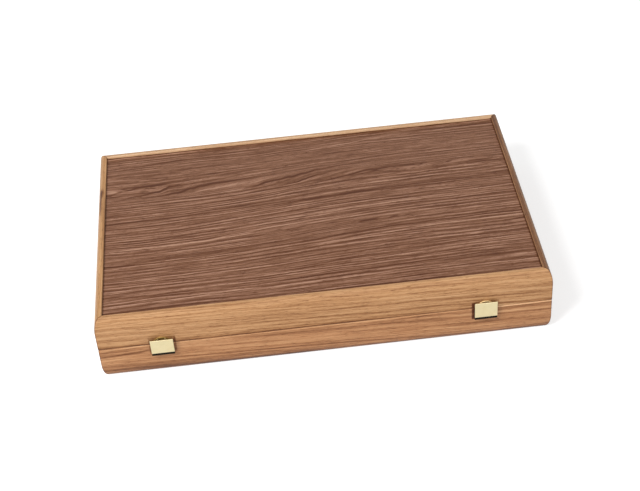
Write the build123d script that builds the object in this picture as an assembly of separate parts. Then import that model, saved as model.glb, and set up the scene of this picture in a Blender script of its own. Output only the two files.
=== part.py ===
"""Folding backgammon board, closed: two hinged trays with latches, points, racks, checkers and dice.

Millimetres. +X runs along the hinge, -Y is the latch side, +Y the hinge side, +Z is up.
The origin is on the ground, under the middle of the closed case with its latches and hinges.
The base tray lies below, and the lid is its mirror image above the parting plane.
"""

import os
from math import cos, radians, sin

from build123d import *

# Case: two equal trays that meet at the parting plane
case_length = 480.0
case_depth = 300.0
tray_height = 40.0
seam_gap = 0.3

# Rails, measured in from the outer face
rail_thickness = 15.0
shoulder_inset = 6.0
shoulder_height = 18.0
rim_width = 9.4
edge_ease = 0.4
seam_round = 1.2
mitre_gap = 0.06

# Outer panel, set in a rebate of the rails
panel_recess = 3.0
panel_thickness = 5.0
panel_fit = 0.15

# Playing field, rack and the divider between them
lining_thickness = 1.2
lining_fit = 0.2
divider_thickness = 6.0
rack_width = 42.0

# Inlaid points
points_per_side = 6
point_length = 185.0
point_gap = 2.0
point_margin = 3.0
inlay_fit = 0.04

# Butt hinges, let into the parting faces of the two back rails
hinge_end_distance = 100.0
hinge_length = 40.0
hinge_setback = 0.2
leaf_width = 12.0
leaf_thickness = 1.2
knuckle_radius = 2.5
knuckle_count = 5
knuckle_gap = 0.2
hinge_pin_radius = 1.05
running_fit = 0.05
hinge_pin_overhang = 0.5
knuckle_clearance = 0.3
hinge_end_clearance = 1.0

# Hinge screws
screw_spacing = 14.0
screw_head_radius = 1.9
screw_head_depth = 1.0
screw_shank_radius = 1.0
screw_length = 9.0
screw_sink = 0.1
screw_slot_length = 2.6
screw_slot_width = 0.45
screw_slot_depth = 0.4
screw_fit = 0.03

# Latches: all heights are measured from the parting plane, down negative
latch_end_distances = (67.0, 71.0)
latch_proud = 4.0
lever_width = 24.2
lever_thickness = 0.8
lever_bottom = -9.5
lever_top = 9.8
lever_edge_round = 0.35
lever_angles = (5.0, 0.0)
dimple_spacing = 11.6
dimple_height = -5.6
dimple_radius = 0.8
dimple_depth = 0.15
flange_depth = 1.9
flange_top = 6.0
latch_pin_height = -8.4
latch_pin_proud = 2.2
latch_pin_radius = 0.5
claw_width = 8.0
claw_height = 0.8
claw_bottom = 4.0
claw_reach = 1.3
foot_width = 22.0
foot_thickness = 0.6
foot_top = -0.6
sill_top = -10.7
sill_height = 1.8
sill_proud = 3.7
ear_thickness = 0.8
ear_radius = 0.8
ear_clearance = 0.3
keeper_radius = 10.0
keeper_centre = 0.1
keeper_bottom = 0.6
keeper_thickness = 1.0
keeper_round = 0.6
ledge_width = 10.0
ledge_height = 1.0
ledge_proud = 0.6
claw_clearance = 0.4
spring_width = 6.0
spring_thickness = 0.3
spring_top = -1.2
spring_foot_length = 2.4
spring_bulge = 1.9
spring_drop = 3.0
spring_bend = 0.6

# Latch nails
nail_head_radius = 0.8
nail_head_height = 0.5
nail_crown_radius = 0.5
nail_rim_height = 0.25
nail_shank_radius = 0.5
nail_length = 7.0
nail_fit = 0.03
keeper_nail_spacing = 7.8
keeper_nail_height = 7.4
foot_nail_spacing = 14.0
foot_nail_height = -2.6

# Checkers, stored on edge in the base rack
checkers_per_row = 15
checker_diameter = 36.0
checker_thickness = 9.0
checker_round = 1.2
checker_groove_radius = 12.0
checker_groove_width = 1.2
checker_groove_depth = 0.6
checker_gap = 0.3
rest_gap = 0.3

# Dice
die_size = 14.0
die_round = 1.6
die_centres = (-14.0, 15.0)
die_turns = (14.0, -9.0)
die_tumbles = (0.0, 90.0)
die_setback = 7.0
pip_radius = 1.2
pip_depth = 0.5
pip_spacing = 3.7
pip_fit = 0.02

# Places that follow from the sizes above
knuckle_proud = hinge_setback + knuckle_radius
widest_angle = radians(max(lever_angles))
lever_reach = (
    latch_pin_proud
    + (lever_top - lever_edge_round - latch_pin_height) * sin(widest_angle)
    + (latch_proud - lever_edge_round - latch_pin_proud) * cos(widest_angle)
    + lever_edge_round
)
case_shift = (lever_reach - knuckle_proud) / 2
front_y = case_shift - case_depth / 2
back_y = case_shift + case_depth / 2
half_length = case_length / 2
tray_top = tray_height - seam_gap / 2
seat_height = panel_recess + panel_thickness
floor_height = seat_height + lining_thickness
inner_half_length = half_length - rail_thickness
rack_front_y = front_y + rail_thickness
rack_back_y = rack_front_y + rack_width
field_front_y = rack_back_y + divider_thickness
field_back_y = back_y - rail_thickness
rack_centre_y = (rack_front_y + rack_back_y) / 2
point_pitch = (field_back_y - field_front_y) / points_per_side
point_width = point_pitch - point_gap
latch_centres = (latch_end_distances[0] - half_length, half_length - latch_end_distances[1])
hinge_y = back_y + hinge_setback
hinge_centres = (hinge_end_distance - half_length, half_length - hinge_end_distance)
parting_plane = Plane(origin=(0, 0, tray_height), x_dir=(1, 0, 0), z_dir=(0, 0, 1))
rail_corners = {
    "front": ((-half_length, front_y, 0), (1, 0, 0), case_length),
    "right": ((half_length, front_y, 0), (0, 1, 0), case_depth),
    "back": ((half_length, back_y, 0), (-1, 0, 0), case_length),
    "left": ((-half_length, back_y, 0), (0, -1, 0), case_depth),
}


def block(x, y, z):
    """A box from three pairs of limits."""
    size = [limits[1] - limits[0] for limits in (x, y, z)]
    centre = [(limits[0] + limits[1]) / 2 for limits in (x, y, z)]
    return Pos(*centre) * Box(*size)


def group(pieces):
    """Separate solids kept together in one node."""
    return Compound([solid for piece in pieces for solid in piece.solids()])


def flipped(shape):
    """The lid's copy of a base piece, mirrored in the parting plane."""
    return mirror(shape, about=parting_plane)


# Rails


def rail_section():
    """Section of a rail: x is the distance in from the outer face, y the height."""
    shoulder = EllipticalCenterArc(
        (shoulder_inset, shoulder_height), shoulder_inset, shoulder_height, 180, arc_size=90
    )
    rest = Polyline(
        (shoulder_inset, 0),
        (rim_width - edge_ease, 0),
        (rim_width, edge_ease),
        (rim_width, seat_height),
        (rail_thickness, seat_height),
        (rail_thickness, tray_top - edge_ease),
        (rail_thickness - edge_ease, tray_top),
        (seam_round, tray_top),
    )
    seam = CenterArc((seam_round, tray_top - seam_round), seam_round, 90, 90)
    face_line = Line((0, tray_top - seam_round), (0, shoulder_height))
    return make_face(shoulder + rest + seam + face_line)


def rail(corner, along, length):
    """A moulded rail with mitred ends, from one outer corner of the tray to the next."""
    plan = Plane(origin=corner, x_dir=along, z_dir=(0, 0, 1))
    section = Plane(origin=corner, x_dir=plan.y_dir, z_dir=along)
    bar = extrude(section * rail_section(), amount=length)
    slip = mitre_gap * 2**0.5
    wedge = make_face(
        Polyline(
            (slip, 0),
            (length - slip, 0),
            (length - rail_thickness - slip, rail_thickness),
            (rail_thickness + slip, rail_thickness),
            close=True,
        )
    )
    return bar & extrude(plan * wedge, amount=tray_height)


def hinge_recess(centre):
    """Room for a leaf and its knuckles in a back rail of the base."""
    half = hinge_length / 2 + knuckle_gap
    pocket = block(
        (centre - half, centre + half),
        (hinge_y - leaf_width - knuckle_gap, back_y + knuckle_radius),
        (tray_top - leaf_thickness, tray_height),
    )
    reach = hinge_length / 2 + hinge_end_clearance
    notch = Pos(centre, hinge_y, tray_height) * Rot(0, 90, 0) * Cylinder(
        knuckle_radius + knuckle_clearance, 2 * reach
    )
    return pocket + notch


def screw_places(centre):
    """Where the screws of a base leaf go in, at the middle of the leaf."""
    y = hinge_y - (leaf_width + knuckle_radius) / 2
    z = tray_top - screw_sink
    return [Pos(centre + step * screw_spacing, y, z) for step in (-1, 0, 1)]


def back_rail():
    """The back rail of the base, cut for its hinges and their screws."""
    cutters = [hinge_recess(centre) for centre in hinge_centres]
    for centre in hinge_centres:
        cutters += [place * screw_body(screw_fit) for place in screw_places(centre)]
    return rail(*rail_corners["back"]) - cutters


def front_rail(nail_holes):
    """A front rail, drilled for the latch nails of its tray."""
    return rail(*rail_corners["front"]) - nail_holes


# Panels, field, rack


def outer_panel():
    """The veneered panel in the rebate of the four rails."""
    inset = rim_width + panel_fit
    return block(
        (-half_length + inset, half_length - inset),
        (front_y + inset, back_y - inset),
        (panel_recess, seat_height),
    )


def point_places():
    """Base centre and pointing direction of each point, with its place in the row from the bar."""
    places = []
    for end in (-1, 1):
        for index in range(points_per_side):
            y = field_back_y - (index + 0.5) * point_pitch
            places.append((end * (inner_half_length - point_margin), y, -end, index))
    return places


def point(x, y, direction, fit):
    """One long triangle of inlay, smaller than its cut-out by the fit on each side."""
    half = point_width / 2 - fit
    outline = Polyline(
        (x + direction * fit, y - half),
        (x + direction * fit, y + half),
        (x + direction * (point_length - fit * point_length / point_width), y),
        close=True,
    )
    return extrude(Pos(0, 0, seat_height) * make_face(outline), amount=lining_thickness)


def field_sheet():
    """The veneered playing field with the cut-outs of its twelve points."""
    sheet = block(
        (-inner_half_length + lining_fit, inner_half_length - lining_fit),
        (field_front_y + lining_fit, field_back_y - lining_fit),
        (seat_height, floor_height),
    )
    return sheet - [point(x, y, direction, 0) for x, y, direction, _ in point_places()]


def points(parity):
    """Six points of one colour: every second one, and the opposite ones at the other end."""
    chosen = [
        point(x, y, direction, inlay_fit)
        for x, y, direction, index in point_places()
        if (index + (direction > 0)) % 2 == parity
    ]
    return group(chosen)


def rack_divider():
    """The strip between the field and the rack, glued to the outer panel."""
    strip = block(
        (-inner_half_length + lining_fit, inner_half_length - lining_fit),
        (rack_back_y, field_front_y),
        (seat_height, tray_top),
    )
    return chamfer(strip.faces().sort_by(Axis.Z)[-1].edges(), edge_ease)


def rack_floor():
    """The veneer on the floor of the rack."""
    return block(
        (-inner_half_length + lining_fit, inner_half_length - lining_fit),
        (rack_front_y + lining_fit, rack_back_y - lining_fit),
        (seat_height, floor_height),
    )


# Hinges


def screw_body(fit):
    """A countersunk screw along -Z, head up, or with a fit the hole for it."""
    outline = Polyline(
        (0, 0),
        (screw_head_radius + fit, 0),
        (screw_shank_radius + fit, -screw_head_depth),
        (screw_shank_radius + fit, -screw_length + screw_shank_radius),
        (0, -screw_length),
        close=True,
    )
    return revolve(Plane.XZ * make_face(outline), axis=Axis.Z)


def screw():
    """A countersunk screw with a cross slot."""
    slots = [
        Rot(0, 0, turn) * Box(screw_slot_length, screw_slot_width, 2 * screw_slot_depth)
        for turn in (0, 90)
    ]
    return screw_body(0) - slots


def hinge_screws(centre):
    """The three screws of a base leaf."""
    return group([place * screw() for place in screw_places(centre)])


def hinge_leaf(centre, first_knuckle):
    """A base leaf with every second knuckle, starting from the given one."""
    leaf = block(
        (centre - hinge_length / 2, centre + hinge_length / 2),
        (hinge_y - leaf_width, hinge_y - knuckle_radius - knuckle_clearance),
        (tray_top - leaf_thickness, tray_top),
    )
    pitch = hinge_length / knuckle_count
    for index in range(first_knuckle, knuckle_count, 2):
        start = centre - hinge_length / 2 + index * pitch
        span = (start + knuckle_gap / 2, start + pitch - knuckle_gap / 2)
        middle = (span[0] + span[1]) / 2
        leaf += block(
            span,
            (hinge_y - knuckle_radius - 2 * knuckle_clearance, hinge_y - hinge_pin_radius),
            (tray_top - leaf_thickness, tray_top),
        )
        leaf += Pos(middle, hinge_y, tray_height) * Rot(0, 90, 0) * Cylinder(
            knuckle_radius, span[1] - span[0]
        )
    bore = Pos(centre, hinge_y, tray_height) * Rot(0, 90, 0) * Cylinder(
        hinge_pin_radius + running_fit, 2 * hinge_length
    )
    return leaf - [bore] - [place * screw_body(screw_fit) for place in screw_places(centre)]


def hinge_pin(centre):
    """The pin through all knuckles of a hinge."""
    return Pos(centre, hinge_y, tray_height) * Rot(0, 90, 0) * Cylinder(
        hinge_pin_radius, hinge_length + 2 * hinge_pin_overhang
    )


# Latches, drawn on the front face: x across, y up from the parting plane, z out of the wood


def on_front(centre):
    """The plane of the front face, with its origin on the parting plane at a latch."""
    return Plane(origin=(centre, front_y, tray_height), x_dir=(1, 0, 0), z_dir=(0, -1, 0))


def cross_rod(radius, length):
    """A rod along x at the pivot of a latch."""
    return Pos(0, latch_pin_height, latch_pin_proud) * Rot(0, 90, 0) * Cylinder(radius, length)


def dimples():
    """Two shallow round dimples low on the face of a lever."""
    ball_radius = (dimple_radius**2 + dimple_depth**2) / (2 * dimple_depth)
    out = latch_proud - dimple_depth + ball_radius
    return [Pos(side * dimple_spacing / 2, dimple_height, out) * Sphere(ball_radius) for side in (-1, 1)]


def latch_lever(centre, angle):
    """The brass plate with side flanges and a claw, standing open about its pin by an angle."""
    half = lever_width / 2
    inner = latch_proud - lever_thickness
    plate = block((-half, half), (lever_bottom, lever_top), (inner, latch_proud))
    front_edges = plate.faces().sort_by(Axis.Z)[-1].edges()
    lever = fillet(front_edges, lever_edge_round)
    for side in (-1, 1):
        edges = sorted((side * half, side * (half - lever_thickness)))
        lever += block(edges, (lever_bottom, flange_top), (inner - flange_depth, inner))
    lever += block(
        (-claw_width / 2, claw_width / 2),
        (claw_bottom, claw_bottom + claw_height),
        (inner - claw_reach, inner),
    )
    lever -= [cross_rod(latch_pin_radius + running_fit, 2 * lever_width)] + dimples()
    pivot = Pos(0, latch_pin_height, latch_pin_proud)
    return on_front(centre) * (pivot * Rot(angle, 0, 0) * (pivot.inverse() * lever))


def latch_foot(centre):
    """The dark foot plate on the base, with a sill under the lever and two ears for the pin."""
    half = foot_width / 2
    foot = block((-half, half), (sill_top - sill_height, foot_top), (0, foot_thickness))
    foot += block(
        (-lever_width / 2, lever_width / 2),
        (sill_top - sill_height, sill_top),
        (0, sill_proud),
    )
    outer = lever_width / 2 - lever_thickness - ear_clearance
    for side in (-1, 1):
        span = sorted((side * outer, side * (outer - ear_thickness)))
        foot += block(
            span,
            (latch_pin_height - ear_radius, latch_pin_height + ear_radius),
            (foot_thickness / 2, latch_pin_proud),
        )
        foot += Pos((span[0] + span[1]) / 2, latch_pin_height, latch_pin_proud) * Rot(
            0, 90, 0
        ) * Cylinder(ear_radius, ear_thickness)
    holes = [cross_rod(latch_pin_radius + running_fit, 2 * lever_width)]
    holes += [place * nail_body(nail_fit) for place in foot_nail_places()]
    return on_front(centre) * (foot - holes)


def latch_pin(centre):
    """The pivot pin, flush with the flanges of the lever."""
    return on_front(centre) * cross_rod(latch_pin_radius, lever_width)


def latch_spring(centre):
    """The leaf spring on the foot plate that presses the lever from behind."""
    foot_level = foot_thickness + spring_thickness / 2
    bend = spring_top - spring_foot_length
    spine = FilletPolyline(
        (spring_top, foot_level),
        (bend, foot_level),
        (bend - spring_drop / 2, foot_level + spring_bulge),
        (bend - spring_drop, foot_level + spring_bulge / 2),
        radius=spring_bend,
    )
    strip = extrude(trace(spine, spring_thickness), amount=spring_width / 2, both=True)
    side_view = Plane(origin=(0, 0, 0), x_dir=(0, 1, 0), z_dir=(1, 0, 0))
    return on_front(centre) * (side_view * strip)


def keeper(centre):
    """The brass keeper on the lid: a plate with a round top and soft edges, and a ledge for the claw."""
    disc = Pos(0, keeper_centre, keeper_thickness / 2) * Cylinder(keeper_radius, keeper_thickness)
    plate = disc & block(
        (-keeper_radius, keeper_radius),
        (keeper_bottom, keeper_centre + keeper_radius),
        (0, keeper_thickness),
    )
    plate = fillet(plate.faces().sort_by(Axis.Z)[-1].edges(), keeper_round)
    ledge_top = claw_bottom - claw_clearance
    plate += block(
        (-ledge_width / 2, ledge_width / 2),
        (ledge_top - ledge_height, ledge_top),
        (keeper_thickness / 2, keeper_thickness + ledge_proud),
    )
    return on_front(centre) * (plate - [place * nail_body(nail_fit) for place in keeper_nail_places()])


def nail_body(fit):
    """A nail along -Z with its head above the origin, or with a fit the hole for it."""
    outline = Polyline(
        (0, nail_head_height),
        (nail_crown_radius, nail_head_height),
        (nail_head_radius, nail_rim_height),
        (nail_head_radius, 0),
        (nail_shank_radius + fit, 0),
        (nail_shank_radius + fit, -nail_length + nail_shank_radius),
        (0, -nail_length),
        close=True,
    )
    return revolve(Plane.XZ * make_face(outline), axis=Axis.Z)


def foot_nail_places():
    """Where the nails sit on a foot plate, on the front face of a latch."""
    return [Pos(side * foot_nail_spacing / 2, foot_nail_height, foot_thickness) for side in (-1, 1)]


def keeper_nail_places():
    """Where the nails sit on a keeper, on the front face of a latch."""
    return [
        Pos(side * keeper_nail_spacing / 2, keeper_nail_height, keeper_thickness)
        for side in (-1, 1)
    ]


def latch_nails(centre, places):
    """The nails of one latch plate."""
    return group([on_front(centre) * (place * nail_body(0)) for place in places])


def nail_holes(places):
    """Holes in a front rail for the nails of both latches."""
    return [
        on_front(centre) * (place * nail_body(nail_fit)) for centre in latch_centres for place in places
    ]


# Contents


def checker():
    """A turned disc with round edges and a groove on both faces, standing on edge along X."""
    disc = Cylinder(checker_diameter / 2, checker_thickness)
    disc = fillet(disc.edges(), checker_round)
    ring = Cylinder(checker_groove_radius + checker_groove_width / 2, checker_groove_depth)
    ring -= Cylinder(checker_groove_radius - checker_groove_width / 2, checker_groove_depth)
    level = (checker_thickness - checker_groove_depth) / 2
    return Rot(0, 90, 0) * (disc - [Pos(0, 0, side * level) * ring for side in (-1, 1)])


def checker_row(end):
    """A row of checkers on edge, from one end of the rack towards its middle."""
    pitch = checker_thickness + checker_gap
    first = inner_half_length - checker_gap - checker_thickness / 2
    height = floor_height + rest_gap + checker_diameter / 2
    one = checker()
    return group(
        [
            Pos(end * (first - index * pitch), rack_centre_y, height) * one
            for index in range(checkers_per_row)
        ]
    )


def pip_pattern(count):
    """Places of the pips on a face with a given count, in steps of the pip spacing."""
    corners = [(-1, -1), (1, 1), (-1, 1), (1, -1)]
    sides = [(0, -1), (0, 1)] if count == 6 else []
    middle = [(0, 0)] if count % 2 else []
    return corners[: 4 if count > 3 else 2 * (count // 2)] + sides + middle


def pips(fit):
    """All pips of a die, or with a fit the holes for them. Opposite faces add up to seven."""
    half = die_size / 2
    faces = [
        (5, (0, 0, 1), (1, 0, 0)),
        (2, (0, 0, -1), (1, 0, 0)),
        (4, (0, -1, 0), (1, 0, 0)),
        (3, (0, 1, 0), (1, 0, 0)),
        (1, (1, 0, 0), (0, 1, 0)),
        (6, (-1, 0, 0), (0, 1, 0)),
    ]
    inlays = []
    for count, out, across in faces:
        face = Plane(origin=[half * value for value in out], x_dir=across, z_dir=out)
        for step_x, step_y in pip_pattern(count):
            place = Pos(step_x * pip_spacing, step_y * pip_spacing, -pip_depth / 2)
            inlays.append(face * (place * Cylinder(pip_radius + fit, pip_depth)))
    return inlays


def on_die(index):
    """The middle of a die, turned as it lies in the rack."""
    height = floor_height + rest_gap + die_size / 2
    y = rack_back_y - die_setback - die_size / 2
    turn = Rot(0, 0, die_turns[index]) * Rot(die_tumbles[index], 0, 0)
    return Pos(die_centres[index], y, height) * turn


def die(index):
    """A cube with round edges and holes for its pips."""
    cube = Box(die_size, die_size, die_size)
    cube = fillet(cube.edges(), die_round)
    return on_die(index) * (cube - pips(pip_fit))


def die_pips(index):
    """The inlaid pips of a die."""
    return group([on_die(index) * pip for pip in pips(0)])


def build():
    """All nodes by name."""
    nodes = {}
    base = {
        "front_rail": front_rail(nail_holes(foot_nail_places())),
        "back_rail": back_rail(),
        "left_rail": rail(*rail_corners["left"]),
        "right_rail": rail(*rail_corners["right"]),
        "panel": outer_panel(),
        "field_sheet": field_sheet(),
        "points_light": points(0),
        "points_dark": points(1),
        "rack_divider": rack_divider(),
        "rack_floor": rack_floor(),
    }
    for name, shape in base.items():
        nodes["base_" + name] = shape
        nodes["lid_" + name] = flipped(shape)
    nodes["lid_front_rail"] = flipped(rail(*rail_corners["front"])) - nail_holes(keeper_nail_places())
    nodes["lid_points_light"] = flipped(points(1))
    nodes["lid_points_dark"] = flipped(points(0))

    for side, centre in zip(("left", "right"), hinge_centres):
        nodes[side + "_hinge_base_leaf"] = hinge_leaf(centre, 0)
        nodes[side + "_hinge_lid_leaf"] = flipped(hinge_leaf(centre, 1))
        nodes[side + "_hinge_pin"] = hinge_pin(centre)
        nodes[side + "_hinge_base_screws"] = hinge_screws(centre)
        nodes[side + "_hinge_lid_screws"] = flipped(hinge_screws(centre))

    for side, centre, angle in zip(("left", "right"), latch_centres, lever_angles):
        nodes[side + "_latch_lever"] = latch_lever(centre, angle)
        nodes[side + "_latch_foot"] = latch_foot(centre)
        nodes[side + "_latch_pin"] = latch_pin(centre)
        nodes[side + "_latch_spring"] = latch_spring(centre)
        nodes[side + "_latch_keeper"] = keeper(centre)
        nodes[side + "_latch_foot_nails"] = latch_nails(centre, foot_nail_places())
        nodes[side + "_latch_keeper_nails"] = latch_nails(centre, keeper_nail_places())

    nodes["light_checkers"] = checker_row(-1)
    nodes["dark_checkers"] = checker_row(1)
    for index, name in enumerate(("left_die", "right_die")):
        nodes[name] = die(index)
        nodes[name + "_pips"] = die_pips(index)
    return nodes


os.makedirs("parts", exist_ok=True)
for node, shape in build().items():
    export_step(shape, f"parts/{node}.step")
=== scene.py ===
"""Looks of the folding backgammon board: woods, brass, contents, floor, light and camera."""

from math import pi, radians

import bpy
from mathutils import Matrix, Vector

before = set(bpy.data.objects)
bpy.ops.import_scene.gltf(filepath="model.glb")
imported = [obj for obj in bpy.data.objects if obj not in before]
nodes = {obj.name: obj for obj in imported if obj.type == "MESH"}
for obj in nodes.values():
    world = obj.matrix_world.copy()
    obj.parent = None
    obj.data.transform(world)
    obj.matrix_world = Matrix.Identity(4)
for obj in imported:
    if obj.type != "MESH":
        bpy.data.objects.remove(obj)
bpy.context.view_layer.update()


def box_of(*names):
    """Lowest and highest corner of nodes that stand still."""
    corners = [
        nodes[name].matrix_world @ Vector(corner) for name in names for corner in nodes[name].bound_box
    ]
    return [Vector([pick(values) for values in zip(*corners)]) for pick in (min, max)]


# The case, from its base: half its length and depth, the middle of its depth, and the seam
case_low, case_high = box_of("base_front_rail", "base_back_rail", "base_left_rail", "base_right_rail")
case_half = ((case_high.x - case_low.x) / 2, (case_high.y - case_low.y) / 2)
case_middle = (case_low.y + case_high.y) / 2
seam_height = case_high.z

# Painted highlight on the base's upper edge and painted shade on the lid's lower edge along the seam: heights
# above it in metres, each with the shift of the tone there, plus 0.5.
# It reaches this far up and down, and fades out between these two depths below the outer face.
seam_painted_light = ((-0.0017, 0.5), (-0.0009, 0.66), (-0.0001, 0.66), (0.0002, 0.14), (0.0016, 0.14), (0.0027, 0.5))
seam_reach = 0.004
seam_fade = (0.0012, 0.0028)

# Dark line along the mitre joints: where beside the joint it starts and ends to fade, and its strength
mitre_line = (0.0002, 0.0009)
mitre_strength = 0.34

# Height over which painted shade darkens the wood towards the surface that the case lies on
foot_shade_reach = 0.012

# Painted shade by the latches: the depths below the front face where it fades, and its soft upper and lower
# ends
latch_shade_fade = (0.0004, 0.0010)
latch_shade_soft = 0.0022

# Hills of noise in a metre: along the grain, across it and, for the finest, along z.
# ring_widths counts across the grain only, and line_run along it. The noise that fades the rings
# goes on by ring_apart from one ring to the next.
slow_bends = (4.0, 16.0)
quick_bends = (22.0, 75.0)
broad_bands = (1.6, 55.0)
ring_widths = (70.0,)
line_run = 6.0
ring_apart = 3.7
fine_fibres = (30.0, 1400.0, 900.0)
short_pores = (130.0, 2600.0, 1800.0)

# How far the bends go, as shares of how far a grain wanders, and the share of the quick ones in drawn lines
slow_share = 4.0
quick_share = 0.9
drawn_share = 0.45

# The range of a noise that makes the lines, and the top of its range, which makes the pores
line_range = (0.34, 0.66)
pore_range = (0.60, 0.70)
pore_share = 0.45

# One growth ring over its width: how dark its late wood is, and where the pale line beside it lies
late_profile = ((0.0, 1.0), (0.08, 0.45), (0.2, 0.06), (0.6, 0.0), (0.9, 0.35), (1.0, 1.0))
pale_profile = ((0.0, 0.0), (0.1, 0.0), (0.18, 1.0), (0.28, 0.0), (1.0, 0.0))

# Varnish on the wood, and the depth of its fibres and pores
varnish_roughness = 0.28
wood_relief = 0.00012

# Tarnish and streaks of metal, and clouds in plastic, also as hills of noise in a metre
tarnish_hills = (140.0, 140.0, 140.0)
tarnish_share = 0.35
streak_hills = (60.0, 3000.0, 3000.0)
streak_depth = 0.000015
cloud_hills = (160.0, 160.0, 160.0)
cloud_depth = 0.00005

# Floor: half its width, its height, its two greys, the light that it gives off to the camera near the
# object and far from it, and the light that shiny things get from it
floor_reach = 6.0
floor_level = -0.0001
floor_greys = (0.80, 0.82)
floor_hills = (3.0, 3.0, 1.0)
floor_glow = (0.56, 0.85)
floor_distances = (0.5, 1.6)
floor_shine = 0.2

# Camera: where it stands, and how it is turned from looking level along +Y
camera_place = Vector((-0.05236, case_middle - 1.22796, 1.03747))
camera_heading = radians(2.768)
camera_tilt = radians(39.463)
camera_roll = radians(-4.486)
camera_lens = 78.55
sensor_width = 36.0

# Strength of the world's even light on the object, and the point that the lamps are turned to
world_light = 0.38
lit_point = (0.0, 0.0, 0.04)

# The drawn lines of the grain are written in millimetres, and endless is a reach without an end
mm = 0.001
endless = 1e6

# Woods from their darkest to their lightest tone, in the 0 to 255 steps of a picture
walnut = ((84, 42, 16), (107, 65, 39), (134, 92, 67), (161, 118, 94), (190, 147, 122))
rail_brown = ((94, 48, 14), (149, 101, 60), (195, 146, 100), (214, 169, 124), (230, 193, 152))
rail_pale = ((96, 54, 24), (151, 105, 62), (195, 146, 98), (215, 171, 122), (230, 194, 147))
rail_paler = ((108, 66, 38), (170, 126, 88), (216, 172, 130), (234, 194, 152), (244, 212, 174))
rail_redder = ((86, 42, 14), (138, 90, 54), (183, 130, 88), (207, 157, 112), (226, 182, 139))
rail_dark = ((56, 30, 15), (92, 57, 33), (129, 86, 54), (161, 116, 78), (190, 146, 105))
point_light = ((168, 122, 74), (200, 156, 104), (226, 186, 134), (238, 204, 156), (246, 218, 176))
point_dark = ((16, 8, 4), (32, 17, 9), (52, 29, 16), (72, 42, 25), (94, 58, 37))
white = (1.0, 1.0, 1.0, 1.0)


def linear(colour):
    """A 0 to 255 colour as the linear values that a shader takes."""
    def one(value):
        value /= 255
        return value / 12.92 if value <= 0.04045 else ((value + 0.055) / 1.055) ** 2.4
    return tuple(one(value) for value in colour) + (1.0,)


class Value:
    """A number or colour that a material works out at each point; sums with it add Math nodes."""

    def __init__(self, graph, socket):
        self.graph = graph
        self.socket = socket

    def math(self, operation, *others):
        return self.graph.math(operation, self, *others)

    def __add__(self, other):
        return self.math("ADD", other)

    def __sub__(self, other):
        return self.math("SUBTRACT", other)

    def __rsub__(self, other):
        return self.graph.math("SUBTRACT", other, self)

    def __mul__(self, other):
        return self.math("MULTIPLY", other)

    def __truediv__(self, other):
        return self.math("DIVIDE", other)

    def __abs__(self):
        return self.math("ABSOLUTE")

    def spread(self, low, high, to_low=0.0, to_high=1.0):
        """The value stretched from one range to another, and cut off at its ends."""
        return self.graph.value("MapRange", self, low, high, to_low, to_high)

    def inside(self, low, high, height=1.0, soft=0.0008):
        """A height where the value is between two others, which fades to 0 outside them."""
        half = (high - low) / 2
        return abs(self - (low + high) / 2).spread(half, half + soft, height, 0.0)

    def ramp(self, stops, kind="LINEAR"):
        """A colour for each place from 0 to 1, or a height where the stops give numbers."""
        node = self.graph.add("ValToRGB", self)
        band = node.color_ramp
        band.interpolation = kind
        while len(band.elements) < len(stops):
            band.elements.new(0.5)
        for element, (place, look) in zip(band.elements, stops):
            element.position = place
            element.color = look if isinstance(look, tuple) else (look, look, look, 1.0)
        return Value(self.graph, node.outputs[0])


class Graph:
    """The nodes of a new material or world, and short calls that add to them."""

    def __init__(self, owner):
        owner.use_nodes = True
        self.owner = owner
        self.tree = owner.node_tree
        self.tree.nodes.clear()

    def feed(self, socket, value):
        """Sets an input to a number or colour, or links a value to it."""
        if isinstance(value, Value):
            self.tree.links.new(value.socket, socket)
        else:
            socket.default_value = value

    def add(self, kind, *inputs, settings=None, **named):
        """Adds a node, with inputs in their order or by name, where _ stands for a space."""
        node = self.tree.nodes.new("ShaderNode" + kind)
        for key, value in (settings or {}).items():
            setattr(node, key, value)
        for socket, value in zip(node.inputs, inputs):
            self.feed(socket, value)
        for name, value in named.items():
            self.feed(node.inputs[name.replace("_", " ")], value)
        return node

    def value(self, kind, *inputs, output=0, **named):
        """Adds a node and gives one of its outputs."""
        return Value(self, self.add(kind, *inputs, **named).outputs[output])

    def math(self, operation, *inputs):
        return self.value("Math", *inputs, settings={"operation": operation})

    def place(self, output="Object"):
        """The surface point in the part's own frame, or its normal, split in x, y and z."""
        point = self.value("TexCoord", output=output)
        return [Value(self, socket) for socket in self.add("SeparateXYZ", point).outputs]

    def noise(self, place, hills, seed=0.0, detail=2.0, roughness=0.5):
        """Noise of 0 to 1 at one to three numbers, with so many hills for a unit of each."""
        scaled = [number * count for number, count in zip(place, hills)]
        point = self.value("CombineXYZ", *(scaled + [seed])[:3])
        return self.value("TexNoise", Vector=point, Scale=1.0, Detail=detail, Roughness=roughness)

    def mix(self, amount, first, second):
        """The first colour, turned into the second one by an amount of 0 to 1."""
        node = self.add("Mix", settings={"data_type": "RGBA"})
        # This node has a set of sockets for each type of data, and these are the ones for colours
        for index, value in ((0, amount), (6, first), (7, second)):
            self.feed(node.inputs[index], value)
        return Value(self, node.outputs[2])

    def bump(self, height, distance, strength):
        return self.value("Bump", Height=height, Distance=distance, Strength=strength)

    def ray(self, kind):
        """1 for the rays of a kind, and 0 for the others."""
        return self.value("LightPath", output=f"Is {kind} Ray")

    def surface(self, **inputs):
        """Ends a material with its shader, and gives the material."""
        self.add("OutputMaterial", self.value("BsdfPrincipled", **inputs))
        return self.owner


def uneven(noise, roughness, below=0.06, above=0.08):
    """A roughness that follows a noise, from a little below to a little above a number."""
    return noise.spread(0.3, 0.7, roughness - below, roughness + above)


# Woods: a tone of 0 to 1 is built up, and picks its colour from the wood's own tones


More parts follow.
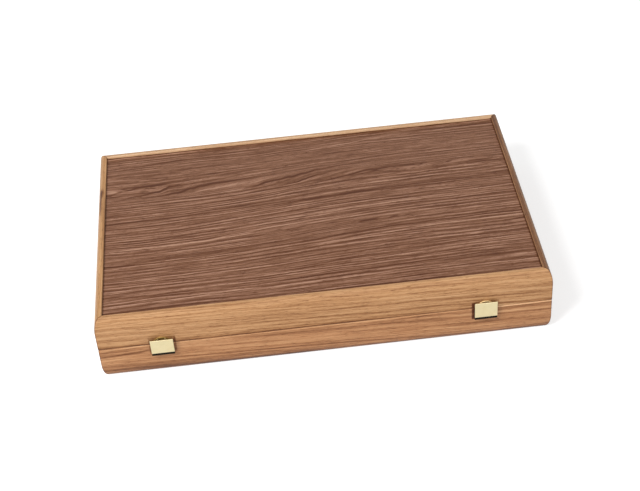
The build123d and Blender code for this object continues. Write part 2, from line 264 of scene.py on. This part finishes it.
def hill(along, across, centre, reach, height):
    """A soft local hill of a value, about a place along and across the grain."""
    first = (along - centre[0]) / reach[0]
    second = (across - centre[1]) / reach[1]
    return ((first * first + second * second) * -1.0).math("EXPONENT") * height


def step(along, middle, length):
    """-1 before a place along the grain and 1 after it, with a smooth turn of a length."""
    return ((along - middle) / length).math("TANH")


def kinked(along, across, kinks):
    """The place across the grain, with local steps: place, length along, reach across and height."""
    for (middle, centre), length, reach, height in kinks:
        window = hill(along, across, (0.0, centre), (endless, reach), height)
        across = across - step(along, middle, length) * window
    return across


def swept(along, across, middle, length, rise, hills):
    """The place across the grain, which is swept to one side, and further at some places across it."""
    amount = rise
    for height, centre, reach in hills:
        amount = hill(along, across, (0.0, centre), (1.0, reach), height) + amount
    return across - step(along, middle, length) * amount


def stroke(along, across, width, strength, points):
    """A drawn grain line through points, in millimetres, each with its share of the line's strength."""
    places, heights, shares = zip(*points)
    length = places[-1] - places[0]
    steps = [(place - places[0]) / length for place in places]
    low = min(heights)
    rise = max(heights) - low
    part = along.spread(mm * places[0], mm * places[-1])
    course = part.ramp([(at, (height - low) / rise) for at, height in zip(steps, heights)], "EASE")
    power = part.ramp(list(zip(steps, shares)))
    off = (across - (course * (mm * rise) + mm * low)) / (mm * width)
    return (off * off * -1.0).math("EXPONENT") * power * strength


def growth_rings(graph, along, across, seed, ring):
    """Rings of their own widths and strengths: the dark late wood, and a pale line beside it."""
    phase = across / ring + graph.noise((across,), ring_widths, seed) * 3.0
    within = phase.math("FRACT")
    number = phase.math("FLOOR")
    chance = graph.value("TexWhiteNoise", settings={"noise_dimensions": "1D"}, W=number + seed)
    fade = graph.noise((along, number), (line_run, ring_apart), seed, 1.0).spread(0.34, 0.6, 0.35, 1.3)
    late_wood = within.ramp(late_profile) * (chance * fade)
    pale_line = within.ramp(pale_profile) * chance.spread(0.4, 0.9)
    return late_wood, pale_line


def grain_lines(graph, along, across, seed, pitch, crisp):
    """Lines of the grain, so many in a metre; crisp is the offset that takes broad bands out of them."""
    def lines_at(place):
        return graph.noise((along, place), (line_run, pitch), seed, 3.0, 0.62)
    lines = lines_at(across)
    if crisp:
        lines = lines - lines_at(across + crisp) + 0.5
    return lines.spread(*line_range)


def with_latch_shade(tone, x, y, z, shade_patches):
    """The tone with patches of painted shade on the front face: x from and to, z from and to, and strength.
    """
    face = y.spread(*[case_low.y + depth for depth in latch_shade_fade], 1.0, 0.0)
    for low_x, high_x, low_z, high_z, strength in shade_patches:
        patch = x.inside(low_x, high_x, strength) * z.inside(low_z, high_z, soft=latch_shade_soft)
        tone = tone - patch * face
    return tone


def joined(tone, x, y, z):
    """The tone with a dark line along the mitre joints, and with painted highlight and shade along the seam.
    """
    from_x = case_half[0] - abs(x)
    from_y = case_half[1] - abs(y - case_middle)
    tone = tone - abs(from_x - from_y).spread(*mitre_line, mitre_strength, 0.0)
    # Painted highlight just below the seam and painted shade just above it, on the outer faces
    stops = [((height + seam_reach) / (2 * seam_reach), share) for height, share in seam_painted_light]
    seam_light = z.spread(seam_height - seam_reach, seam_height + seam_reach).ramp(stops)
    outer = from_x.math("MINIMUM", from_y).spread(*seam_fade, 1.0, 0.0)
    return tone + (seam_light - 0.5) * outer


def wood(name, axis, seed, tones, *, band=0.35, line=0.13, late=0.22, pale=0.12, fibre=0.22, foot=0.0,
         ring=0.0075, pitch=380.0, crisp=0.0, wander=0.003, slope=0.0, lean=0.9,
         sweep=None, kinks=(), lenses=(), calm=(), strokes=(), flames=(), knot=None, shade_patches=(),
         mitred=False, roughness=0.42, coat=0.12, specular=0.4):
    """Sawn wood or veneer whose grain runs along x or y.

    How much the tone moves: band for broad bands, line for the lines of the grain, late and pale for
    the dark and the pale edge of the growth rings, fibre for fibres and pores, foot for painted shade
    at the bottom.
    The course of the grain: ring is about the width of a growth ring, pitch the lines in a metre,
    crisp evens out the broad bands among them, wander is how far the grain strays, slope how much it
    turns from its axis, and lean the share of the height that counts across it, so that it goes on
    over a rounded edge.
    Single features: sweep, kinks and lenses bend the grain, calm evens it out, strokes are drawn lines,
    some of them painted highlight and shade on the rims and along the seam, flames and knot are soft
    paler or darker places, and shade_patches are painted shade by the latches.
    """
    graph = Graph(bpy.data.materials.new(name))
    x, y, z = graph.place()
    along, side = (x, y) if axis == "x" else (y, x)
    drawn = side + z * lean + along * slope
    flat = kinked(along, drawn, kinks)
    if sweep:
        flat = swept(along, flat, *sweep)
    slow = graph.noise((along, flat), slow_bends, seed, 1.0)
    quick = graph.noise((along, flat), quick_bends, seed + 3.1)
    ripple = (quick - 0.5) * (quick_share * wander)
    bent = flat + (slow - 0.5) * (slow_share * wander) + ripple
    drawn = drawn + ripple * drawn_share
    for centre, reach, amount in lenses:
        bent = bent - (bent - centre[1]) * hill(along, bent, centre, reach, amount)

    late_wood, pale_line = growth_rings(graph, along, bent, seed, ring)
    bands = graph.noise((along, bent), broad_bands, seed + 7.7)
    lines = grain_lines(graph, along, bent, seed + 11.3, pitch, crisp)
    fibres = graph.noise((along, bent, z), fine_fibres, roughness=0.6)
    pores = graph.noise((along, bent, z), short_pores, detail=1.0).spread(*pore_range)

    tone = (bands - 0.5) * band + (lines - 0.5) * line - late_wood * late + pale_line * pale
    for centre, reach, share in calm:
        tone = tone - tone * hill(along, drawn, centre, reach, share)
    tone = tone + 0.5 + (fibres - 0.5) * fibre - pores * (pore_share * fibre)
    for drawn_line in strokes:
        tone = tone + stroke(along, drawn, *drawn_line)
    for centre, reach, height in flames:
        tone = tone + hill(along, bent, centre, reach, height)
    # Painted shade around the latches on the front face
    if shade_patches:
        tone = with_latch_shade(tone, x, y, z, shade_patches)
    # Painted shade low on the rail, towards the surface that the case lies on
    if foot:
        tone = tone - z.spread(0.0, foot_shade_reach, foot, 0.0)
    if knot:
        tone = tone - hill(along, side, *knot)
    if mitred:
        tone = joined(tone, x, y, z)

    last = len(tones) - 1
    colour = tone.ramp([(index / last, linear(shade)) for index, shade in enumerate(tones)])
    return graph.surface(
        Base_Color=colour, Roughness=uneven(fibres, roughness), Specular_IOR_Level=specular,
        Coat_Weight=coat, Coat_Roughness=varnish_roughness,
        Normal=graph.bump(fibres * 0.5 - pores * 0.6, wood_relief, 0.5),
    )


# Metals and plastics


def metal(name, colour, worn, roughness, shaded_sides=None):
    """Metal with fine streaks and blotches of tarnish; with shaded_sides, its flanks and back are painted
    darker as shade.
    """
    graph = Graph(bpy.data.materials.new(name))
    place = graph.place()
    streaks = graph.noise(place, streak_hills, detail=3.0, roughness=0.6)
    blotches = graph.noise(place, tarnish_hills, detail=4.0, roughness=0.6)
    shade = graph.mix(blotches.spread(0.45, 0.75, 0.0, tarnish_share), linear(colour), linear(worn))
    # Painted shade: the flanks, which face sideways, and the back, which faces the wood, are darkened
    if shaded_sides:
        facing_x, facing_y, _ = graph.place("Normal")
        aside = abs(facing_x).spread(0.75, 0.95)
        behind = facing_y.spread(0.3, 0.7)
        shade = graph.mix(aside.math("MAXIMUM", behind), shade, linear(shaded_sides))
    return graph.surface(
        Base_Color=shade, Metallic=1.0,
        Roughness=uneven(streaks, roughness) + blotches.spread(0.5, 0.8, 0.0, 0.12),
        Normal=graph.bump(streaks, streak_depth, 0.6),
    )


def plastic(name, colour, cloud, roughness):
    """Smooth moulded plastic with faint clouds in its colour and in its gloss."""
    graph = Graph(bpy.data.materials.new(name))
    clouds = graph.noise(graph.place(), cloud_hills, detail=4.0, roughness=0.6)
    return graph.surface(
        Base_Color=graph.mix(clouds.spread(0.35, 0.7), linear(colour), linear(cloud)),
        Roughness=uneven(clouds, roughness, 0.0, 0.1), Coat_Weight=0.3, Coat_Roughness=0.1,
        Normal=graph.bump(clouds, cloud_depth, 0.3),
    )


# The figure of the lid's veneer: the sweep of its grain, its steps and its drawn lines.
# The sweep has its middle, its length, its rise and further rises: height, place across and reach.
lid_sweep = (-0.010, 0.120, 0.005, ((0.006, 0.060, 0.035), (0.006, -0.020, 0.050)))
lid_kinks = (
    ((-0.164, 0.0700), 0.005, 0.0080, 0.0030),
    ((-0.128, 0.0660), 0.009, 0.0090, 0.0034),
    ((-0.026, 0.0680), 0.036, 0.0120, 0.0050),
)

# Calm places, lenses, flames and knots have a centre, a reach along and across the grain, and a height
lid_calm = (
    ((0.0, 0.1040), (endless, 0.0180), 0.60),
    ((-0.050, 0.0680), (0.190, 0.0115), 0.85),
    ((0.040, -0.0280), (0.050, 0.0080), 0.55),
)
lid_lenses = (((0.062, -0.0330), (0.018, 0.0040), 0.60),)
lid_panel_joint = (((0.2303, 0.0), (0.0008, 10.0), -0.40),)

# A drawn line has a width in millimetres, a strength, and points: millimetres along and across the
# grain, and share of the strength. On the rails, where lean is 0.9, 0.9 of the height counts across.
lid_strokes = (
    (1.4, -0.58, ((-230, 69, 0.5), (-210, 74, 0.9), (-192, 78, 1.0), (-168, 79.5, 0.6), (-145, 79, 0.0))),
    (1.4, -0.80, ((-222, 57, 0.0), (-193, 62.5, 0.6), (-169, 66.5, 0.9), (-163, 71, 1.0), (-157, 75, 0.8),
                  (-135, 76.5, 0.3), (-100, 77, 0.0))),
    (1.6, -0.90, ((-198, 56, 0.0), (-168, 58.5, 0.4), (-148, 61, 0.8), (-132, 66, 1.0), (-121, 69.5, 1.0),
                  (-105, 71.5, 0.8), (-68, 74, 0.5), (-47, 76.5, 0.3), (-15, 80, 0.0))),
    (1.4, -0.90, ((-76, 56, 0.0), (-58, 58.7, 0.7), (-46, 63, 1.0), (-35, 65, 1.0), (-18, 68.3, 0.9),
                  (-2, 72.5, 0.8), (15, 77, 0.6), (48, 81, 0.3), (80, 83, 0.0))),
    (1.3, -0.71, ((-40, 53, 0.0), (-13, 56.7, 0.6), (-2, 61, 0.9), (4, 64, 0.9), (15, 66.7, 0.6),
                  (32, 71, 0.4), (60, 74, 0.0))),
    (2.0, -0.49, ((-5, 50, 0.0), (23, 55, 0.8), (48, 60, 1.0), (73, 66.5, 1.0), (110, 69, 0.6),
                  (150, 70, 0.0))),
    (4.0, 0.25, ((-130, 60, 0.0), (-115, 62, 0.8), (-90, 64, 1.0), (-60, 66.5, 1.0), (-45, 70, 0.6),
                 (-20, 75, 0.0))),
    (1.2, -0.38, ((-205, 117, 0.0), (-185, 121, 0.7), (-165, 123, 1.0), (-135, 125, 0.8), (-90, 124, 0.3),
                  (-60, 122, 0.0))),
    (0.8, 0.59, ((-5, 116, 0.0), (30, 120, 0.8), (48, 122, 1.0), (82, 126.7, 0.8), (115, 130, 0.0))),
    (2.2, -0.32, ((-230, 13, 0.7), (-172, 17.5, 0.9), (-72, 22, 1.0), (15, 24, 0.9), (65, 27.5, 1.0),
                  (140, 32.5, 1.0), (232, 33, 0.9))),
    (1.3, -0.28, ((10, 17, 0.0), (40, 17.5, 0.6), (65, 20, 1.0), (110, 25, 0.8), (165, 27, 0.0))),
    (0.8, 0.61, ((-90, -15, 0.0), (-60, -11, 0.5), (-10, -6, 1.0), (52, -1, 1.0), (115, 2.5, 0.9),
                 (160, 4, 0.4), (232, 5, 0.2))),
    (0.8, 0.61, ((-232, -34, 0.7), (-160, -33.5, 0.8), (-122, -32, 1.0), (-85, -26, 1.0), (-35, -19, 1.0),
                 (15, -15, 0.8), (65, -12, 0.0))),
    (0.8, 0.44, ((-232, -17.5, 1.0), (-160, -15, 0.8), (-110, -12, 0.4), (-75, -10, 0.0))),
    (1.1, -0.32, ((-217, -25, 0.0), (-203, -23, 1.0), (-150, -23.5, 0.6), (-110, -22, 0.6), (-75, -16, 0.0))),
    (1.4, -0.53, ((49, -28, 0.0), (54, -27, 1.0), (67, -25.5, 0.9), (75, -24, 0.0))),
    (1.2, -0.45, ((82, -25.5, 0.0), (87, -25, 1.0), (93, -24, 0.8), (98, -23, 0.0))),
    (1.4, -0.42, ((-25, -53, 0.0), (40, -45, 0.7), (90, -40, 1.0), (115, -38.5, 1.0), (232, -37, 1.0))),
    (1.6, -0.37, ((-232, -60, 1.0), (-160, -56, 0.9), (-60, -54, 0.8), (-10, -51, 0.7), (45, -46, 0.0))),
    (0.8, 0.57, ((-5, -59, 0.0), (20, -56, 0.4), (77, -50, 0.9), (140, -46, 1.0), (232, -43.5, 0.9))),
    (0.8, 0.44, ((-215, -87, 0.0), (-190, -86, 0.7), (-120, -83.5, 0.9), (-60, -81, 0.6), (5, -76, 0.0))),
    (1.1, -0.38, ((-55, -98, 0.0), (2, -92, 0.7), (25, -87.5, 1.0), (65, -85, 1.0), (140, -82, 0.8),
                  (205, -80, 0.0))),
    (0.8, 0.50, ((55, -89, 0.0), (90, -86, 0.8), (150, -82.5, 1.0), (232, -79.5, 0.9))),
    (2.2, -0.28, ((-85, -112, 0.0), (-20, -110.5, 0.8), (15, -109, 1.0), (115, -105, 0.8), (232, -104, 0.8))),
    (1.7, -0.28, ((-232, -111, 1.0), (-172, -113.5, 0.9), (-135, -112, 0.5), (-95, -109, 0.0))),
    (0.8, 0.44, ((-232, -125, 0.5), (-147, -123, 1.0), (-85, -119, 0.8), (-5, -115, 0.0))),
    (1.0, -0.45, ((-232, 141.3, 1.0), (0, 141.1, 1.0), (232, 141.2, 1.0))),
    (1.0, -0.40, ((-232, -134.9, 1.0), (0, -134.7, 0.9), (232, -134.8, 1.0))),
)

# The front rails, with painted shade around the latch plates, where the plates' shadows fall on the wood
latch_painted_shade = (
    (-0.1866, -0.1588, 0.0287, 0.0485, 0.20),
    (-0.1602, -0.1590, 0.0307, 0.0473, 0.16),
    (0.1548, 0.1580, 0.0269, 0.0467, 0.58),
    (0.1590, 0.1812, 0.0275, 0.0460, 0.20),
    (0.1640, 0.1830, 0.0474, 0.0484, 0.22),
)
lid_front_strokes = (
    (0.9, -0.24, ((-45, -95, 0.0), (0, -93.7, 0.7), (35, -92.8, 0.7), (70, -93.5, 0.3), (100, -92, 0.6),
                  (140, -93, 1.0), (190, -94.1, 0.8), (245, -95.2, 0.4))),
    (0.9, -0.24, ((-45, -103, 0.0), (0, -100.9, 0.8), (40, -100.7, 0.8), (110, -100.7, 0.9),
                  (155, -101.3, 1.0), (185, -99.6, 0.2), (245, -101.9, 0.3))),
    (2.4, -0.26, ((-250, -115.8, 0.4), (-200, -114.6, 0.5), (-150, -113.1, 0.9), (-100, -111.8, 1.0),
                  (-60, -110.7, 1.0), (0, -109.1, 0.9), (60, -107.9, 0.8), (105, -106.8, 0.5),
                  (130, -106.2, 0.0))),
    (1.0, 0.16, ((40, -110.3, 0.0), (80, -109.4, 1.0), (130, -108.1, 1.0), (160, -107.4, 0.0))),
    # The next line is a painted highlight along the lid's lower edge at the right end of the seam
    (0.9, 0.60, ((172, -106.6, 0.0), (183, -106.5, 1.0), (245, -106.1, 1.0))),
    (0.7, -0.14, ((172, -104.4, 0.0), (186, -104.2, 1.0), (245, -103.6, 1.0))),
    (1.0, 0.20, ((-60, -108, 0.0), (0, -107, 1.0), (60, -105.9, 1.0), (120, -104.8, 0.8), (150, -104, 0.0))),
)
base_front_flames = (
    ((-0.215, -0.1425), (0.070, 0.0050), -0.12),
    ((-0.240, -0.1210), (0.050, 0.0040), -0.09),
    ((-0.120, -0.1290), (0.060, 0.0050), 0.05),
    ((0.150, -0.1350), (0.090, 0.0040), 0.12),
    ((0.150, -0.1142), (0.090, 0.0030), 0.16),
)
base_front_strokes = (
    (0.9, -0.34, ((-205, -133.6, 0.0), (-180, -134.2, 0.8), (-130, -135.2, 1.0), (-60, -135.9, 1.0),
                  (20, -136.6, 0.9), (60, -137.3, 0.8), (100, -137.5, 0.7), (160, -136.4, 0.4),
                  (245, -134.5, 0.3))),
    (1.2, -0.32, ((-245, -128, 0.8), (-200, -125, 1.0), (-186, -122.5, 0.8), (-160, -119, 0.0))),
    (0.8, 0.26, ((-245, -120.6, 0.8), (-215, -118.5, 1.0), (-190, -116.5, 0.5), (-178, -115.5, 0.0))),
    (0.8, -0.32, ((25, -116, 0.0), (60, -114.3, 0.6), (80, -113.2, 1.0), (120, -111.1, 1.0),
                  (160, -109.8, 0.8), (175, -109.4, 0.0))),
    (1.2, -0.26, ((172, -110.8, 0.0), (185, -110.5, 1.0), (245, -109.4, 1.0))),
    # The next line is a painted highlight along the base's upper edge at the right end of the seam
    (0.8, 0.90, ((172, -108.8, 0.0), (184, -108.5, 1.0), (245, -107.2, 1.0))),
    (0.8, -0.16, ((-95, -119.5, 0.0), (-60, -119.2, 1.0), (-25, -119, 0.0))),
    (0.8, -0.16, ((0, -124.6, 0.0), (30, -124, 1.0), (75, -124.8, 1.0), (110, -123, 0.0))),
)

# The rims of the lid: a dark joint at the panel, a pale wall above it, which is a painted highlight on the
# lit inner wall, and a darker middle of the rim; the dark outer line of the back rim is painted shade on its
# back shoulder
lid_left_strokes = (
    (2.0, -0.60, ((28, -165.2, 0.0), (40, -165.0, 0.7), (56, -165.4, 1.0), (68, -164.6, 1.0),
                  (78, -164.0, 0.0))),
)
lid_left_knot = ((0.073, -0.2350), (0.006, 0.0020), 0.5)
lid_right_strokes = (
    (0.6, -0.50, ((-160, 299.6, 1.0), (0, 299.8, 1.0), (160, 299.6, 1.0))),
    # The next line is a painted highlight on the lit inner wall of the rim
    (0.9, 0.40, ((-160, 302.1, 1.0), (0, 301.9, 0.9), (160, 302.0, 0.8))),
    (1.1, -0.16, ((-160, 304.3, 0.4), (0, 304.1, 1.0), (160, 304.2, 1.0))),
    (1.6, 0.18, ((-160, 307.1, 1.0), (0, 306.9, 0.9), (160, 307.0, 0.7))),
    (3.0, 0.14, ((-160, 304.1, 1.0), (-60, 303.9, 1.0), (20, 304.0, 0.0))),
)
lid_back_strokes = (
    (0.6, -0.45, ((-240, 210.9, 1.0), (0, 211.1, 1.0), (240, 211.0, 1.0))),
    # The next line is a painted highlight on the lit inner wall of the rim
    (1.5, 0.32, ((-240, 213.2, 0.9), (0, 213.0, 1.0), (240, 213.1, 1.0))),
    # The next line is painted shade on the back shoulder of the rim
    (1.6, -0.20, ((-240, 219.2, 1.0), (0, 219.0, 1.0), (240, 219.1, 0.8))),
)

# Looks that several woods share
panel_look = {"band": 0.12, "line": 0.64, "pitch": 400.0, "crisp": 0.0019, "ring": 0.0072, "late": 0.11,
              "pale": 0.16, "fibre": 1.7, "lean": 0.0, "roughness": 0.46, "coat": 0.03, "specular": 0.2}
rail_look = {"band": 0.24, "line": 0.32, "ring": 0.0052, "late": 0.20, "pale": 0.12, "fibre": 0.75,
             "wander": 0.0012, "mitred": True}
duller_look = dict(rail_look, specular=0.25, coat=0.05)
# The base rails get painted shade towards their bottom
base_look = dict(rail_look, band=0.40, line=0.44, late=0.30, foot=0.20)
inlay_look = {"band": 0.3, "late": 0.16, "fibre": 0.2, "lean": 0.0}
checker_look = {"band": 0.3, "late": 0.16, "fibre": 0.2, "ring": 0.003, "coat": 0.3, "roughness": 0.3}

# Each material of wood has its axis, its seed and its tones
materials = {
    "lid_panel": wood("veneer_lid", "x", 2.0, walnut, sweep=lid_sweep, kinks=lid_kinks, calm=lid_calm,
                      lenses=lid_lenses, strokes=lid_strokes, flames=lid_panel_joint, **panel_look),
    "base_panel": wood("veneer_base", "x", 31.0, walnut, **panel_look),
    "field": wood("veneer_field", "x", 12.0, walnut, **dict(inlay_look, fibre=0.22)),
    # The lid's front rail has painted shade by the latches
    "lid_front": wood("rail_lid_front", "x", 5.0, rail_brown, slope=0.026, strokes=lid_front_strokes,
                      shade_patches=latch_painted_shade, **dict(duller_look, band=0.20, line=0.30, late=0.15)),
    "lid_back": wood("rail_lid_back", "x", 6.0, rail_paler, strokes=lid_back_strokes, **rail_look),
    "lid_left": wood("rail_lid_left", "y", 17.0, rail_pale, knot=lid_left_knot, strokes=lid_left_strokes,
                     **duller_look),
    "lid_right": wood("rail_lid_right", "y", 19.0, rail_dark, strokes=lid_right_strokes, **duller_look),
    # The base's front rail: the strongest painted shade at its bottom, and painted shade by the latches
    "base_front": wood("rail_base_front", "x", 8.0, rail_redder, slope=0.022, flames=base_front_flames,
                       strokes=base_front_strokes, shade_patches=latch_painted_shade,
                       **dict(duller_look, band=0.22, line=0.36, late=0.18, foot=0.42)),
    "base_back": wood("rail_base_back", "x", 9.0, rail_brown, **base_look),
    "base_left": wood("rail_base_left", "y", 23.0, rail_redder, **base_look),
    "base_right": wood("rail_base_right", "y", 25.0, rail_dark, **base_look),
    "divider": wood("rack_divider", "x", 14.0, rail_brown, band=0.28, line=0.1, late=0.16, fibre=0.16),
    "points_light": wood("points_light", "x", 41.0, point_light, **dict(inlay_look, late=0.14)),
    "points_dark": wood("points_dark", "x", 44.0, point_dark, **inlay_look),
    "light_checkers": wood("checkers_light", "y", 51.0, point_light, **dict(checker_look, late=0.14)),
    "dark_checkers": wood("checkers_dark", "y", 57.0, point_dark, **checker_look),
    # The lever's flanks and back are painted dark as shade
    "latch_lever": metal("brass_lever", (233, 221, 179), (218, 202, 152), 0.36, shaded_sides=(92, 66, 38)),
    # The left keeper is a darker copy of the keeper's brass: painted shade for the shadow of the left lever
    "left_keeper": metal("brass_keeper_dull", (176, 144, 84), (132, 104, 56), 0.62),
    "right_keeper": metal("brass_keeper", (240, 212, 158), (214, 182, 122), 0.55),
    "brass": metal("brass_fittings", (212, 184, 132), (160, 128, 78), 0.32),
    "dark_steel": metal("steel_blackened", (46, 40, 35), (28, 23, 20), 0.45),
    "die": plastic("die_ivory", (240, 232, 208), (230, 218, 188), 0.22),
    "pips": plastic("pip_black", (22, 20, 20), (34, 32, 30), 0.3),
}


def finish_for(node):
    """The material of a node, from its name."""
    if node.endswith("_rail"):
        return node.removesuffix("_rail")
    if node.endswith("_panel"):
        return node
    if node.endswith("rack_divider"):
        return "divider"
    if node.endswith(("field_sheet", "rack_floor")):
        return "field"
    if node.endswith("latch_keeper"):
        return node.replace("latch_", "")
    for ending in ("points_light", "points_dark", "light_checkers", "dark_checkers", "latch_lever", "pips"):
        if node.endswith(ending):
            return ending
    if node.endswith(("latch_foot", "latch_pin", "latch_spring", "foot_nails")):
        return "dark_steel"
    if node.endswith("_die"):
        return "die"
    return "brass"


for name, piece in nodes.items():
    piece.data.materials.clear()
    piece.data.materials.append(materials[finish_for(name)])


# Floor, light and camera


def floor_material():
    """White to the camera and to shiny things, with the shadow of the object kept."""
    graph = Graph(bpy.data.materials.new("floor_white"))
    x, y, z = graph.place()
    greys = [(grey, grey, grey, 1.0) for grey in floor_greys]
    matte = graph.value("BsdfDiffuse", graph.mix(graph.noise((x, y, z), floor_hills), *greys))
    to_camera = graph.ray("Camera")
    to_gloss = graph.ray("Glossy")
    away = (x * x + y * y).math("SQRT")
    strength = to_camera * away.spread(*floor_distances, *floor_glow) + to_gloss * floor_shine
    both = graph.value("AddShader", matte, graph.value("Emission", white, strength))
    seen = to_camera.math("MAXIMUM", to_gloss)
    graph.add("OutputMaterial", graph.value("MixShader", seen, matte, both))
    return graph.owner


def add_object(name, data):
    thing = bpy.data.objects.new(name, data)
    bpy.context.scene.collection.objects.link(thing)
    return thing


def add_floor():
    mesh = bpy.data.meshes.new("floor")
    signs = [(-1, -1), (1, -1), (1, 1), (-1, 1)]
    corners = [(x * floor_reach, y * floor_reach, floor_level) for x, y in signs]
    mesh.from_pydata(corners, [], [(0, 1, 2, 3)])
    mesh.materials.append(floor_material())
    add_object("floor", mesh)


def add_area_light(name, place, size, power):
    lamp = bpy.data.lights.new(name, "AREA")
    lamp.shape = "DISK"
    lamp.size = size
    lamp.energy = power
    light = add_object(name, lamp)
    light.location = place
    light.rotation_euler = (Vector(lit_point) - Vector(place)).to_track_quat("-Z", "Y").to_euler()


def set_world():
    """A plain even light on the object, and white to the camera, in reflections and through glass."""
    graph = Graph(bpy.data.worlds.new("studio"))
    shown = graph.ray("Camera")
    for kind in ("Transmission", "Glossy"):
        shown = shown.math("MAXIMUM", graph.ray(kind))
    fill = graph.value("Background", white, world_light)
    backdrop = graph.value("Background", white, 1.0)
    graph.add("OutputWorld", graph.value("MixShader", shown, fill, backdrop))
    bpy.context.scene.world = graph.owner


def add_camera():
    data = bpy.data.cameras.new("camera")
    data.lens = camera_lens
    data.sensor_width = sensor_width
    data.sensor_fit = "HORIZONTAL"
    data.clip_end = 50.0
    camera = add_object("camera", data)
    turn = (
        Matrix.Rotation(-camera_heading, 4, "Z")
        @ Matrix.Rotation(pi / 2 - camera_tilt, 4, "X")
        @ Matrix.Rotation(camera_roll, 4, "Z")
    )
    camera.matrix_world = Matrix.Translation(camera_place) @ turn
    bpy.context.scene.camera = camera


add_floor()
add_area_light("key", place=(-1.35, -1.25, 2.1), size=1.0, power=47.0)
add_area_light("front_fill", place=(0.5, -2.2, 1.1), size=1.4, power=12.0)
set_world()
add_camera()
bpy.context.scene.view_settings.view_transform = "Standard"
